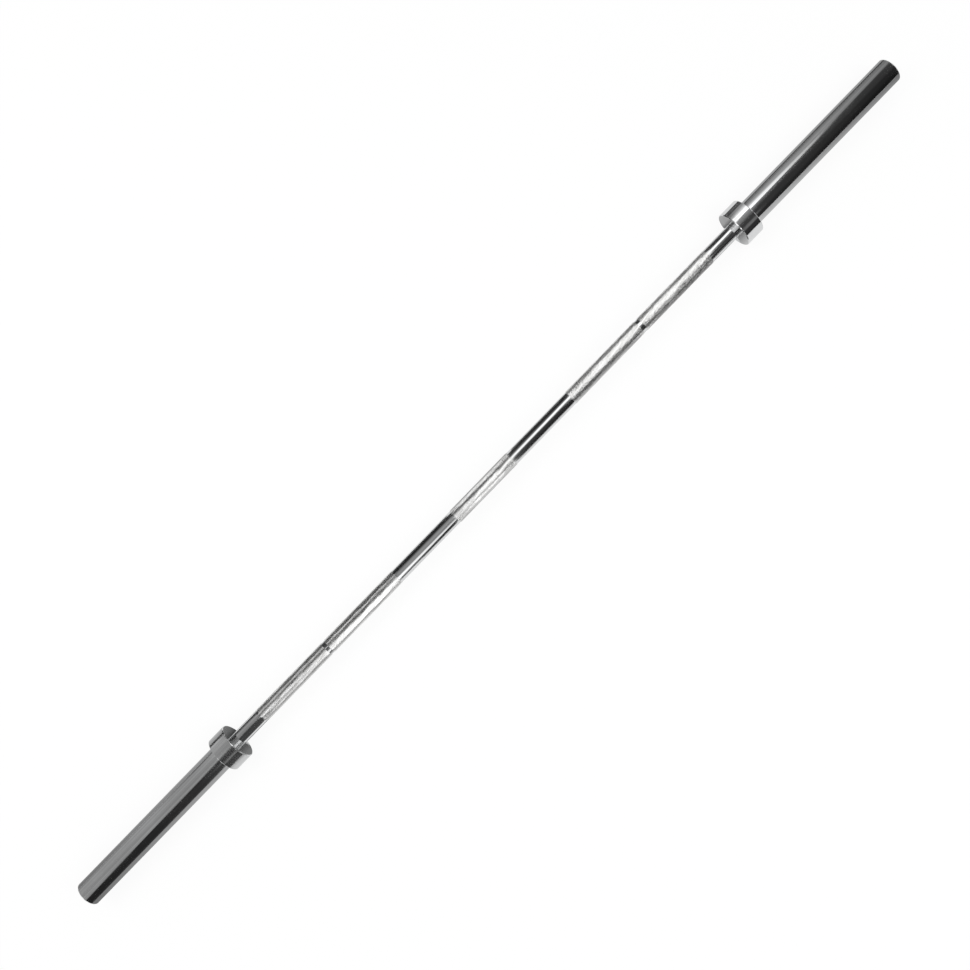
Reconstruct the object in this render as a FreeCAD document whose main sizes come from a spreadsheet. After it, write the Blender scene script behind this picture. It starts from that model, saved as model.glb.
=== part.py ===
import FreeCAD, Part
import os
import re

import Sketcher
from FreeCAD import Placement, Rotation, Vector

# Barbell for plates with a 50 mm hole: a steel shaft, and on each end a sleeve that turns with its collar.
# Millimetres. The bar lies along X with its middle at the origin, and Z is up.
# Places on the two ends are measured outward from the collar's inner face.

# Driving sizes
SIZES = [
    ("grip_length", "1320", "clear length between the two collars"),
    ("grip_diameter", "28.6", "plain shaft between the collars"),
    ("knurl_height", "0.2", "height of the knurled bands above the plain shaft"),
    ("centre_knurl_length", "150", "knurled band in the middle of the shaft"),
    ("knurl_gap", "156", "plain stretch on each side of the centre knurl"),
    ("ring_spacing", "830", "distance between the middles of the two ring marks"),
    ("ring_width", "8", "plain ring mark that parts the inner from the outer knurl"),
    ("neck_length", "68", "plain stretch between the outer knurl and the collar"),
    ("spindle_land", "3.5", "spindle left standing beyond its circlip groove"),
    ("centre_hole_diameter", "6", "lathe centre in each end of the shaft, at its mouth"),
    ("centre_hole_depth", "5", "lathe centre in each end of the shaft, to its point"),
    ("shaft_edge", "0.6", "chamfer on the shaft's shoulders and ends"),
    ("collar_diameter", "75", "outside of the collar that stops the plates"),
    ("collar_length", "38", "collar along the bar"),
    ("collar_lip", "8", "front wall of the collar, which closes on the shaft"),
    ("collar_edge", "1.2", "chamfer round both rims of the collar"),
    ("seat_step", "2", "how far the sleeve is turned down, on the radius and by a cone, inside the collar"),
    ("lip_clearance", "0.3", "radial gap between the shaft and the collar's lip"),
    ("seal_width", "3.2", "grease seal along the bar, and its groove in the lip's bore"),
    ("seal_height", "2.6", "grease seal from the shaft to the floor of its groove"),
    ("seal_taper", "0.9", "bevel on both sides of the edge that the seal wipes with"),
    ("sleeve_diameter", "50", "outside of the sleeve, which the plates slide on"),
    ("load_length", "369", "bare sleeve outside the collar"),
    ("sleeve_edge", "2", "chamfer round the outer end of the sleeve"),
    ("inner_edge", "0.5", "small chamfers on the bushings, washers and bores"),
    ("bushing_bore", "25", "bore of the bronze bushings, which the spindles run in"),
    ("bushing_wall", "2.5", "wall of a bronze bushing, which the sleeve is bored out for"),
    ("bushing_length", "40", "body of a bronze bushing, without its flange"),
    ("flange_height", "3", "how far a bushing's flange stands out past its body"),
    ("flange_thickness", "3", "flange of a bronze bushing"),
    ("running_clearance", "0.05", "radial gap of whatever runs on the shaft"),
    ("end_play", "0.2", "gap along the bar at each thrust face"),
    ("washer_side_gap", "1.3", "radial gap between a washer and the sleeve round it"),
    ("washer_thickness", "2", "each washer on the spindle"),
    ("washer_clearance", "0.1", "radial gap between a washer and the spindle"),
    ("shaft_clip_thickness", "1.5", "circlip that holds the sleeve on the spindle"),
    ("shaft_clip_depth", "0.6", "depth of that circlip's groove in the spindle"),
    ("shaft_clip_wide", "3.2", "band of that circlip opposite its gap"),
    ("shaft_clip_narrow", "2", "band of that circlip beside its gap"),
    ("shaft_lug_spacing", "8", "distance between that circlip's lug holes"),
    ("shaft_lug_height", "1.4", "lug holes of that circlip above the spindle"),
    ("shaft_lug_diameter", "4.6", "lugs of that circlip"),
    ("clip_play", "0.1", "groove width that a circlip leaves over"),
    ("clip_gap", "3.2", "opening of a circlip between its lugs"),
    ("clip_hole", "2", "plier holes in the lugs of a circlip"),
    ("cap_gap", "3", "space between the shaft's end and the end cap"),
    ("cap_ledge", "2", "ledge in the sleeve's end that the end cap sits on"),
    ("cap_thickness", "5", "end cap along the bar"),
    ("cap_clearance", "0.1", "radial gap round the end cap"),
    ("cap_dish_diameter", "30", "dished middle of the end cap, at its mouth"),
    ("cap_dish_depth", "1.5", "dished middle of the end cap"),
    ("end_land", "3", "sleeve left standing beyond the end circlip's groove"),
    ("end_clip_thickness", "1.5", "circlip that holds the end cap in"),
    ("end_clip_depth", "1", "depth of that circlip's groove in the sleeve"),
    ("end_clip_wide", "4", "band of that circlip opposite its gap"),
    ("end_clip_narrow", "2.6", "band of that circlip beside its gap"),
    ("end_lug_spacing", "8.8", "distance between that circlip's lug holes"),
    ("end_lug_depth", "3.4", "lug holes of that circlip below the recess's wall"),
    ("end_lug_diameter", "5", "lugs of that circlip"),
]

# Places worked out from the sizes: along the shaft from its middle, then along an end
STATIONS = [
    ("centre_knurl_end", "centre_knurl_length / 2"),
    ("inner_knurl_start", "centre_knurl_end + knurl_gap"),
    ("inner_knurl_end", "(ring_spacing - ring_width) / 2"),
    ("outer_knurl_start", "(ring_spacing + ring_width) / 2"),
    ("collar_face", "grip_length / 2"),
    ("outer_knurl_end", "collar_face - neck_length"),
    ("shoulder", "collar_lip + end_play"),
    ("inner_flange_face", "shoulder + washer_thickness + end_play"),
    ("inner_seat", "inner_flange_face + flange_thickness"),
    ("seat_cone", "collar_length - seat_step"),
    ("sleeve_end", "collar_length + load_length"),
    ("end_groove_wall", "sleeve_end - end_land"),
    ("cap_face", "end_groove_wall - end_clip_thickness"),
    ("cap_seat", "cap_face - cap_thickness"),
    ("spindle_end", "cap_seat - cap_gap"),
    ("shaft_groove_wall", "spindle_end - spindle_land"),
    ("retainer_face", "shaft_groove_wall - shaft_clip_thickness"),
    ("outer_washer_face", "retainer_face - washer_thickness"),
    ("outer_flange_face", "outer_washer_face - washer_thickness - end_play"),
    ("outer_seat", "outer_flange_face - flange_thickness"),
    ("grip_radius", "grip_diameter / 2"),
    ("bushing_radius", "bushing_bore / 2"),
    ("spindle_radius", "bushing_radius - running_clearance"),
    ("shaft_groove_radius", "spindle_radius - shaft_clip_depth"),
    ("lip_radius", "grip_radius + lip_clearance"),
    ("seal_inner_radius", "grip_radius + running_clearance"),
    ("seal_outer_radius", "seal_inner_radius + seal_height"),
    ("seal_start", "(collar_lip - seal_width) / 2"),
    ("seal_end", "(collar_lip + seal_width) / 2"),
    ("collar_radius", "collar_diameter / 2"),
    ("sleeve_radius", "sleeve_diameter / 2"),
    ("collar_seat_radius", "sleeve_radius - seat_step"),
    ("bore_radius", "bushing_radius + bushing_wall"),
    ("flange_radius", "bore_radius + flange_height"),
    ("washer_inner_radius", "spindle_radius + washer_clearance"),
    ("washer_radius", "flange_radius - washer_side_gap"),
    ("cap_recess_radius", "flange_radius + cap_ledge"),
    ("cap_radius", "cap_recess_radius - cap_clearance"),
    ("cap_dish_radius", "cap_dish_diameter / 2"),
    ("end_groove_radius", "cap_recess_radius + end_clip_depth"),
]

SIDES = {"left": -1, "right": 1}

doc = FreeCAD.newDocument("Barbell")
sheet = doc.addObject("Spreadsheet::Sheet", "Sizes")
for row, (alias, value, meaning) in enumerate(SIZES, start=1):
    sheet.set(f"A{row}", meaning)
    sheet.set(f"B{row}", value)
    sheet.setAlias(f"B{row}", alias)
for row, (alias, formula) in enumerate(STATIONS, start=len(SIZES) + 2):
    sheet.set(f"A{row}", formula)
    sheet.set(f"B{row}", "=" + formula)
    sheet.setAlias(f"B{row}", alias)
doc.recompute()

sub_parts = []


def bound(formula):
    """A formula in the sheet's names, as an object's property reads it."""
    return re.sub(r"[a-z]\w*", r"Sizes.\g<0>", formula)


def new_body(label):
    """An empty body, which is one sub-part of the barbell."""
    body = doc.addObject("PartDesign::Body", label)
    body.Label = label
    sub_parts.append(body)
    return body


def set_on_end(body, side, offset="0"):
    """Puts a body, drawn outward from a collar's inner face, on the left or right end."""
    turn = 180 if SIDES[side] < 0 else 0
    body.Placement = Placement(Vector(), Rotation(Vector(0, 0, 1), turn))
    body.setExpression("Placement.Base.x", bound(f"{SIDES[side]} * (collar_face + {offset})"))


def new_sketch(body, name, role):
    """A sketch on one of the body's own origin planes."""
    sketch = body.newObject("Sketcher::SketchObject", f"{body.Name}_{name}")
    plane = next(f for f in body.Origin.OriginFeatures if f.Role == role)
    sketch.AttachmentSupport = (plane, [""])
    sketch.MapMode = "FlatFace"
    return sketch


def fix(sketch, kind, *where, formula):
    """A dimension of a sketch that follows the sheet. It starts from 1 and takes its value on recompute."""
    index = sketch.addConstraint(Sketcher.Constraint(kind, *where, 1.0))
    sketch.setExpression(f"Constraints[{index}]", bound(formula))


def draw_outline(sketch, corners):
    """A closed outline of straight lines through (across, up) corners given as formulas."""
    count = len(corners)
    rough = [Vector(i, 1 + i * (count - i), 0) for i in range(count)]
    for i in range(count):
        sketch.addGeometry(Part.LineSegment(rough[i], rough[(i + 1) % count]))
    for i in range(count):
        sketch.addConstraint(Sketcher.Constraint("Coincident", i, 2, (i + 1) % count, 1))
    for i, (across, up) in enumerate(corners):
        fix(sketch, "DistanceX", -1, 1, i, 1, formula=across)
        fix(sketch, "DistanceY", -1, 1, i, 1, formula=up)


def draw_circle(sketch, across, up, radius):
    """A circle whose middle and radius are formulas."""
    index = sketch.addGeometry(Part.Circle(Vector(1, 1, 0), Vector(0, 0, 1), 1))
    fix(sketch, "DistanceX", -1, 1, index, 3, formula=across)
    fix(sketch, "DistanceY", -1, 1, index, 3, formula=up)
    fix(sketch, "Radius", index, formula=radius)


def turned_body(label, corners):
    """A body turned round the bar's axis from (along the bar, radius) corners."""
    body = new_body(label)
    sketch = new_sketch(body, "section", "XY_Plane")
    draw_outline(sketch, corners)
    turned = body.newObject("PartDesign::Revolution", f"{label}_turned")
    turned.Profile = sketch
    turned.ReferenceAxis = (sketch, ["H_Axis"])
    turned.Angle = 360
    return body


def pad(body, sketch, thickness):
    """Raises a sketch along the bar."""
    raised = body.newObject("PartDesign::Pad", f"{sketch.Name}_pad")
    raised.Profile = sketch
    raised.setExpression("Length", bound(thickness))


def cut_through(body, sketch):
    """Cuts a sketch through everything on both sides of its plane."""
    doc.recompute()
    before = body.Shape.Volume
    pocket = body.newObject("PartDesign::Pocket", f"{sketch.Name}_cut")
    pocket.Profile = sketch
    pocket.Type = "ThroughAll"
    pocket.Midplane = True
    doc.recompute()
    if body.Shape.Volume >= before:
        raise RuntimeError(f"{pocket.Name} cuts nothing")


def make_shaft():
    """The shaft: knurled grip, shoulders, spindles with a circlip groove, and lathe centres."""
    grip, crest = "grip_radius", "grip_radius + knurl_height"
    half = [("centre_knurl_end - knurl_height", crest), ("centre_knurl_end", grip)]
    for start, end in (("inner_knurl_start", "inner_knurl_end"), ("outer_knurl_start", "outer_knurl_end")):
        half += [(start, grip), (f"{start} + knurl_height", crest)]
        half += [(f"{end} - knurl_height", crest), (end, grip)]
    groove_start = "shaft_groove_wall - shaft_clip_thickness - clip_play"
    spindle = [
        ("shoulder - shaft_edge", grip),
        ("shoulder", "grip_radius - shaft_edge"),
        ("shoulder", "spindle_radius"),
        (groove_start, "spindle_radius"),
        (groove_start, "shaft_groove_radius"),
        ("shaft_groove_wall", "shaft_groove_radius"),
        ("shaft_groove_wall", "spindle_radius"),
        ("spindle_end - shaft_edge", "spindle_radius"),
        ("spindle_end", "spindle_radius - shaft_edge"),
        ("spindle_end", "centre_hole_diameter / 2"),
        ("spindle_end - centre_hole_depth", "0"),
    ]
    half += [(f"collar_face + {along}", radius) for along, radius in spindle]
    other_half = [(f"-({along})", radius) for along, radius in reversed(half)]
    turned_body("shaft", other_half + half)


def make_collar(side):
    """The plate stop: a cup that presses on the sleeve's end and closes on the shaft with a lip."""
    groove = [
        ("seal_end", "lip_radius"),
        ("seal_end", "seal_outer_radius"),
        ("seal_start", "seal_outer_radius"),
        ("seal_start", "lip_radius"),
    ]
    rims = [
        ("0", "collar_radius - collar_edge"),
        ("collar_edge", "collar_radius"),
        ("collar_length - collar_edge", "collar_radius"),
        ("collar_length", "collar_radius - collar_edge"),
    ]
    cup = [
        ("collar_length", "sleeve_radius"),
        ("seat_cone", "collar_seat_radius"),
        ("collar_lip", "collar_seat_radius"),
        ("collar_lip", "lip_radius"),
    ]
    set_on_end(turned_body(f"{side}_collar", [("0", "lip_radius")] + rims + cup + groove), side)


def make_sleeve(side):
    """The tube that carries the plates, with bushing seats, a cap recess and a circlip groove inside."""
    groove_start = "cap_face - clip_play"
    outside = [
        ("collar_lip", "flange_radius"),
        ("collar_lip", "collar_seat_radius - inner_edge"),
        ("collar_lip + inner_edge", "collar_seat_radius"),
        ("seat_cone", "collar_seat_radius"),
        ("collar_length", "sleeve_radius"),
        ("sleeve_end - sleeve_edge", "sleeve_radius"),
        ("sleeve_end", "sleeve_radius - sleeve_edge"),
    ]
    recess = [
        ("sleeve_end", "cap_recess_radius + inner_edge"),
        ("sleeve_end - inner_edge", "cap_recess_radius"),
        ("end_groove_wall", "cap_recess_radius"),
        ("end_groove_wall", "end_groove_radius"),
        (groove_start, "end_groove_radius"),
        (groove_start, "cap_recess_radius"),
        ("cap_seat", "cap_recess_radius"),
    ]
    bore = [
        ("cap_seat", "flange_radius"),
        ("outer_seat", "flange_radius"),
        ("outer_seat", "bore_radius"),
        ("inner_seat", "bore_radius"),
        ("inner_seat", "flange_radius"),
    ]
    set_on_end(turned_body(f"{side}_sleeve", outside + recess + bore), side)


def make_bushing(side, name, face, seat, inward):
    """A flanged bronze bushing pressed into the sleeve. inward is the way its body runs from the flange."""
    tail = f"{seat} {inward} bushing_length"
    outward = "+" if inward == "-" else "-"
    section = [
        (face, "bushing_radius"),
        (face, "flange_radius - inner_edge"),
        (f"{face} {inward} inner_edge", "flange_radius"),
        (seat, "flange_radius"),
        (seat, "bore_radius"),
        (f"{tail} {outward} inner_edge", "bore_radius"),
        (tail, "bore_radius - inner_edge"),
        (tail, "bushing_radius"),
    ]
    set_on_end(turned_body(f"{side}_{name}", section), side)


def make_washer(side, name, face):
    """A washer on the spindle, from its face outward."""
    back = f"{face} + washer_thickness"
    section = [
        (face, "washer_inner_radius"),
        (face, "washer_radius - inner_edge"),
        (f"{face} + inner_edge", "washer_radius"),
        (f"{back} - inner_edge", "washer_radius"),
        (back, "washer_radius - inner_edge"),
        (back, "washer_inner_radius"),
    ]
    set_on_end(turned_body(f"{side}_{name}", section), side)


def make_grease_seal(side):
    """The rubber ring in the collar's lip, which keeps grease in and chalk out."""
    section = [
        ("seal_start", "seal_outer_radius"),
        ("seal_start", "seal_inner_radius + seal_taper"),
        ("seal_start + seal_taper", "seal_inner_radius"),
        ("seal_end - seal_taper", "seal_inner_radius"),
        ("seal_end", "seal_inner_radius + seal_taper"),
        ("seal_end", "seal_outer_radius"),
    ]
    set_on_end(turned_body(f"{side}_grease_seal", section), side)


def make_end_cap(side):
    """The dished disc that closes the sleeve's end."""
    section = [
        ("cap_seat", "0"),
        ("cap_seat", "cap_radius - inner_edge"),
        ("cap_seat + inner_edge", "cap_radius"),
        ("cap_face - inner_edge", "cap_radius"),
        ("cap_face", "cap_radius - inner_edge"),
        ("cap_face", "cap_dish_radius"),
        ("cap_face - cap_dish_depth", "cap_dish_radius - cap_dish_depth"),
        ("cap_face - cap_dish_depth", "0"),
    ]
    set_on_end(turned_body(f"{side}_end_cap", section), side)


def make_clip(label, band, lugs, bore=None, thickness=""):
    """A circlip: a band between two circles, a pair of lugs at the top, its opening and its plier holes.

    band holds (height of the middle, radius) of the outer and, where the band ends there, the inner circle,
    lugs holds (spacing, height, diameter), and bore is the radius that band and lugs are cut back to.
    """
    spacing, height, diameter = lugs
    body = new_body(label)
    ring = new_sketch(body, "band", "YZ_Plane")
    for middle, radius in band:
        draw_circle(ring, "0", middle, radius)
    pad(body, ring, thickness)
    ears = new_sketch(body, "lugs", "YZ_Plane")
    holes = new_sketch(body, "holes", "YZ_Plane")
    for sign in (-1, 1):
        draw_circle(ears, f"{sign} * {spacing} / 2", height, f"{diameter} / 2")
        draw_circle(holes, f"{sign} * {spacing} / 2", height, "clip_hole / 2")
    pad(body, ears, thickness)
    if bore:
        round_bore = new_sketch(body, "bore", "YZ_Plane")
        draw_circle(round_bore, "0", "0", bore)
        cut_through(body, round_bore)
    opening = new_sketch(body, "opening", "YZ_Plane")
    top = f"{height} + {spacing}"
    corners = [("-clip_gap / 2", "0"), ("clip_gap / 2", "0"), ("clip_gap / 2", top), ("-clip_gap / 2", top)]
    draw_outline(opening, corners)
    cut_through(body, opening)
    cut_through(body, holes)
    return body


def make_shaft_clip(side):
    """The outside circlip in the spindle's groove, which keeps the sleeve on."""
    mean = "(shaft_clip_wide + shaft_clip_narrow) / 2"
    drop = "-(shaft_clip_wide - shaft_clip_narrow) / 2"
    body = make_clip(
        f"{side}_shaft_circlip",
        band=[(drop, f"shaft_groove_radius + {mean}")],
        lugs=("shaft_lug_spacing", "(spindle_radius + shaft_lug_height)", "shaft_lug_diameter"),
        bore="shaft_groove_radius",
        thickness="shaft_clip_thickness",
    )
    set_on_end(body, side, "retainer_face")


def make_end_clip(side):
    """The inside circlip in the sleeve's groove, which keeps the end cap in."""
    mean = "(end_clip_wide + end_clip_narrow) / 2"
    rise = "(end_clip_wide - end_clip_narrow) / 2"
    body = make_clip(
        f"{side}_end_circlip",
        band=[("0", "end_groove_radius"), (rise, f"end_groove_radius - {mean}")],
        lugs=("end_lug_spacing", "(cap_recess_radius - end_lug_depth)", "end_lug_diameter"),
        thickness="end_clip_thickness",
    )
    set_on_end(body, side, "cap_face")


make_shaft()
for side in SIDES:
    make_collar(side)
    make_sleeve(side)
    make_grease_seal(side)
    make_washer(side, "inner_thrust_washer", "shoulder")
    make_bushing(side, "inner_bushing", "inner_flange_face", "inner_seat", "+")
    make_bushing(side, "outer_bushing", "outer_flange_face", "outer_seat", "-")
    make_washer(side, "outer_thrust_washer", "outer_washer_face - washer_thickness")
    make_washer(side, "retaining_washer", "outer_washer_face")
    make_shaft_clip(side)
    make_end_cap(side)
    make_end_clip(side)
doc.recompute()

failed = [o.Name for o in doc.Objects if "Invalid" in o.State or "Error" in o.State]
if failed:
    raise RuntimeError(f"these did not build: {failed}")
for body in sub_parts:
    shape = body.Shape
    if shape.isNull() or not shape.isValid() or len(shape.Solids) != 1:
        raise RuntimeError(f"{body.Label} is not one sound solid")

os.makedirs("parts", exist_ok=True)
for body in sub_parts:
    body.Shape.exportStep(f"parts/{body.Label}.step")
    box = body.Shape.BoundBox
    print(f"{body.Label}: {body.Shape.Volume / 1000:.2f} cm3, x {box.XMin:.2f} to {box.XMax:.2f}")
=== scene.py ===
import cmath
import math
import random

import bpy
from bpy.props import FloatProperty, FloatVectorProperty, IntProperty, PointerProperty
from mathutils import Matrix, Vector


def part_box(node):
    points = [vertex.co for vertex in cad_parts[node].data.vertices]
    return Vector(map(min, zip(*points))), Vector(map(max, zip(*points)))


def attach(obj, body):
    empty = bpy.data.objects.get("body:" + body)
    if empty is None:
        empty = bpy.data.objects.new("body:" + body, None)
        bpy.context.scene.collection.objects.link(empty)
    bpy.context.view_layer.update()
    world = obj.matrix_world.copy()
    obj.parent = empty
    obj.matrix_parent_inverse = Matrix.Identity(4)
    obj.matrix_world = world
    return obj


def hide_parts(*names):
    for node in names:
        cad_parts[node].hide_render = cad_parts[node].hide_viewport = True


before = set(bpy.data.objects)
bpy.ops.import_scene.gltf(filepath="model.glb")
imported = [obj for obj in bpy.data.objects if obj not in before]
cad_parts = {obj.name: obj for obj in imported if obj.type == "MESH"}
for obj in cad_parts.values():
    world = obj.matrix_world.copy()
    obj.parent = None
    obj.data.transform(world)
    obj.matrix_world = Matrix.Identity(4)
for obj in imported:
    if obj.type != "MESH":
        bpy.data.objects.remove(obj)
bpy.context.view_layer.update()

bl_info = {
    "name": "Olympic Barbell",
    "version": (1, 0, 0),
    "blender": (4, 5, 0),
    "location": "View3D > Sidebar > Barbell",
    "description": "Dresses the packed model of an olympic barbell and sets up its studio",
    "category": "Add Mesh",
}

# Metres. The bar lies along X with its middle at the origin, and Z is up.
# Places on the two ends are measured along the bar from its middle, the same for both sides.
MM = 0.001
SIDES = {"left": -1, "right": 1}
SHAFT_BODY = "shaft_assembly"


def span(node):
    """Where a node of one end begins and ends, measured outward from the bar's middle."""
    low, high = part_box(node)
    return sorted((abs(low.x), abs(high.x)))


def distances(node):
    """How far each corner of a node is from the bar's axis."""
    return [math.hypot(vertex.co.y, vertex.co.z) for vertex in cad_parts[node].data.vertices]


def outer_radius(node):
    """The largest distance of a node from the bar's axis."""
    return max(distances(node))


def inner_radius(node):
    """The smallest distance of a node from the bar's axis."""
    return min(distances(node))


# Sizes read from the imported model
SPINDLE_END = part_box("shaft")[1].x
KNURL_RADIUS = outer_radius("shaft")
COLLAR_FACE, COLLAR_BACK = span("right_collar")
COLLAR_RADIUS = outer_radius("right_collar")
LIP_RADIUS = inner_radius("right_collar")
SLEEVE_START, SLEEVE_END = span("right_sleeve")
SLEEVE_RADIUS = outer_radius("right_sleeve")
BORE_RADIUS = inner_radius("right_sleeve")
SEAL_START, SEAL_END = span("right_grease_seal")
SEAL_RADIUS = outer_radius("right_grease_seal")
SHOULDER = span("right_inner_thrust_washer")[0]
INNER_FLANGE_FACE = span("right_inner_bushing")[0]
OUTER_FLANGE_FACE = span("right_outer_bushing")[1]
FLANGE_RADIUS = outer_radius("right_inner_bushing")
CLIP_START, CLIP_END = span("right_shaft_circlip")
CLIP_RADIUS = inner_radius("right_shaft_circlip")
CAP_SEAT, CAP_FACE = span("right_end_cap")
CAP_RADIUS = outer_radius("right_end_cap")
END_CLIP_END = span("right_end_circlip")[1]
END_GROOVE_RADIUS = outer_radius("right_end_circlip")

# Gaps between pieces, the step up to the knurl, and the centre hole in each end of the shaft
CLIP_PLAY = 0.1 * MM
CAP_PLAY = 0.1 * MM
SPINDLE_PLAY = 0.05 * MM
SPINDLE_RADIUS = inner_radius("right_inner_bushing") - SPINDLE_PLAY
KNURL_STEP = 0.2 * MM
CENTRE_HOLE_RADIUS = 3 * MM
CENTRE_HOLE_DEPTH = 4.8 * MM
CENTRE_POINT_RADIUS = 0.1 * MM


# Settings that a user would change
class ShaftSettings(bpy.types.PropertyGroup):
    """Sizes of the shaft that show in its surface."""

    grip_radius: FloatProperty(
        name="Grip radius",
        description="Radius of the plain stretches between the knurled bands",
        default=KNURL_RADIUS - KNURL_STEP,
        unit="LENGTH",
    )
    centre_knurl: FloatProperty(
        name="Centre knurl",
        description="Length of the knurled band in the middle",
        default=150 * MM,
        unit="LENGTH",
    )
    plain_gap: FloatProperty(
        name="Plain gap",
        description="Plain stretch on each side of the centre knurl",
        default=156 * MM,
        unit="LENGTH",
    )
    ring_spacing: FloatProperty(
        name="Ring spacing",
        description="Distance between the middles of the two ring marks",
        default=830 * MM,
        unit="LENGTH",
    )
    ring_width: FloatProperty(
        name="Ring width",
        description="Plain ring mark between the inner and the outer knurl",
        default=8 * MM,
        unit="LENGTH",
    )
    neck: FloatProperty(
        name="Neck",
        description="Plain stretch between the outer knurl and the collar",
        default=68 * MM,
        unit="LENGTH",
    )
    diamonds: IntProperty(
        name="Diamonds",
        description="Knurl diamonds once round the grip",
        default=60,
        min=24,
    )
    diamond_angle: FloatProperty(
        name="Diamond angle",
        description="Angle of the knurl's two sets of grooves to the bar",
        default=math.radians(30),
        subtype="ANGLE",
    )
    knurl_depth: FloatProperty(
        name="Knurl depth",
        description="Depth of the grooves below the tips of the diamonds",
        default=0.3 * MM,
        unit="LENGTH",
    )
    knurl_rise: FloatProperty(
        name="Knurl rise",
        description="How far the tips of the diamonds stand out from the solid's bands",
        default=0.35 * MM,
        unit="LENGTH",
    )
    knurl_slope: FloatProperty(
        name="Knurl slope",
        description="How steep the grooves' sides shade, next to the facets themselves",
        default=0.26,
        min=0,
    )
    knurl_wear: FloatProperty(
        name="Knurl wear",
        description="How much the height of the tips differs",
        default=0.02 * MM,
        unit="LENGTH",
    )
    edge: FloatProperty(
        name="Edge",
        description="Chamfer on the shoulders and ends",
        default=0.6 * MM,
        unit="LENGTH",
    )


class EndSettings(bpy.types.PropertyGroup):
    """Sizes of the sleeves and collars that show in their edges and inner steps."""

    segments: IntProperty(
        name="Segments",
        description="Facets once round a sleeve or collar",
        default=160,
        min=48,
    )
    collar_edge: FloatProperty(
        name="Collar edge",
        description="Chamfer round both rims of a collar",
        default=1.2 * MM,
        unit="LENGTH",
    )
    sleeve_edge: FloatProperty(
        name="Sleeve edge",
        description="Chamfer round the outer end of a sleeve",
        default=2 * MM,
        unit="LENGTH",
    )
    rounding: FloatProperty(
        name="Rounding",
        description="Radius that polishing leaves on the outer edges",
        default=0.5 * MM,
        unit="LENGTH",
    )
    seat_step: FloatProperty(
        name="Seat step",
        description="How far a sleeve is turned down inside its collar",
        default=2 * MM,
        unit="LENGTH",
    )
    flange: FloatProperty(
        name="Bushing flange",
        description="Thickness of a bushing's flange, which the sleeve is counterbored for",
        default=3 * MM,
        unit="LENGTH",
    )
    inner_edge: FloatProperty(
        name="Inner edge",
        description="Chamfer at the mouth of a bore",
        default=0.5 * MM,
        unit="LENGTH",
    )


class FinishSettings(bpy.types.PropertyGroup):
    """Colours of the finishes."""

    chrome: FloatVectorProperty(
        name="Chrome",
        description="Hard chrome on the shaft, sleeves, collars and end caps",
        default=(0.66, 0.665, 0.67),
        subtype="COLOR",
        min=0,
        max=1,
    )
    # The knurl's colour is lighter than the plain chrome of the same metal: a painted sheen.
    knurl: FloatVectorProperty(
        name="Knurl",
        description="Satin chrome on the knurled bands",
        default=(0.82, 0.82, 0.82),
        subtype="COLOR",
        min=0,
        max=1,
    )
    grime: FloatVectorProperty(
        name="Grime",
        description="What gathers on the chrome and in the knurl",
        default=(0.42, 0.415, 0.40),
        subtype="COLOR",
        min=0,
        max=1,
    )
    bronze: FloatVectorProperty(
        name="Bronze",
        description="Oil-filled bronze of the bushings and thrust washers",
        default=(0.48, 0.27, 0.10),
        subtype="COLOR",
        min=0,
        max=1,
    )
    bronze_stain: FloatVectorProperty(
        name="Bronze stain",
        description="Oil stains on the bronze",
        default=(0.20, 0.10, 0.04),
        subtype="COLOR",
        min=0,
        max=1,
    )
    zinc: FloatVectorProperty(
        name="Zinc",
        description="Zinc plating of the retaining washers",
        default=(0.55, 0.57, 0.60),
        subtype="COLOR",
        min=0,
        max=1,
    )
    spring: FloatVectorProperty(
        name="Spring steel",
        description="Black phosphated spring steel of the circlips",
        default=(0.045, 0.045, 0.05),
        subtype="COLOR",
        min=0,
        max=1,
    )
    spring_worn: FloatVectorProperty(
        name="Worn spring steel",
        description="Bare steel where the phosphate has rubbed off",
        default=(0.30, 0.30, 0.31),
        subtype="COLOR",
        min=0,
        max=1,
    )
    rubber: FloatVectorProperty(
        name="Rubber",
        description="Rubber of the grease seals",
        default=(0.018, 0.018, 0.02),
        subtype="COLOR",
        min=0,
        max=1,
    )


class StageSettings(bpy.types.PropertyGroup):
    """The camera's place and the studio's light."""

    distance: FloatProperty(
        name="Distance",
        description="Camera from the middle of the bar",
        default=1.97,
        unit="LENGTH",
    )
    elevation: FloatProperty(
        name="Elevation",
        description="Camera's height above the horizon, seen from the bar",
        default=math.radians(82),
        subtype="ANGLE",
    )
    lean: FloatProperty(
        name="Lean",
        description="How far the camera leans to the bar's right end, which shows larger",
        default=math.radians(1.4),
        subtype="ANGLE",
    )
    slope: FloatProperty(
        name="Slope",
        description="Angle of the bar across the picture",
        default=math.radians(45.8),
        subtype="ANGLE",
    )
    aim: FloatProperty(
        name="Aim",
        description="Place along the bar that the camera looks at",
        default=5 * MM,
        unit="LENGTH",
    )
    aim_across: FloatProperty(
        name="Aim across",
        description="Place across the bar that the camera looks at",
        default=1.3 * MM,
        unit="LENGTH",
    )
    lens: FloatProperty(
        name="Lens",
        description="Focal length for a 36 mm sensor, in millimetres",
        default=39.4,
        subtype="DISTANCE_CAMERA",
    )
    floor_colour: FloatVectorProperty(
        name="Floor",
        description="Colour of the floor",
        default=(0.86, 0.86, 0.86),
        subtype="COLOR",
        min=0,
        max=1,
    )
    sky: FloatProperty(
        name="Sky",
        description="Strength of the even light from all round",
        default=0.78,
        min=0,
    )
    lamp_power: FloatProperty(
        name="Lamps",
        description="Power of each overhead lamp",
        default=26,
        unit="POWER",
    )


# Turned forms
ROUNDING_STEPS = 5
SQUARE_TO_AXIS = 0.999


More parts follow.
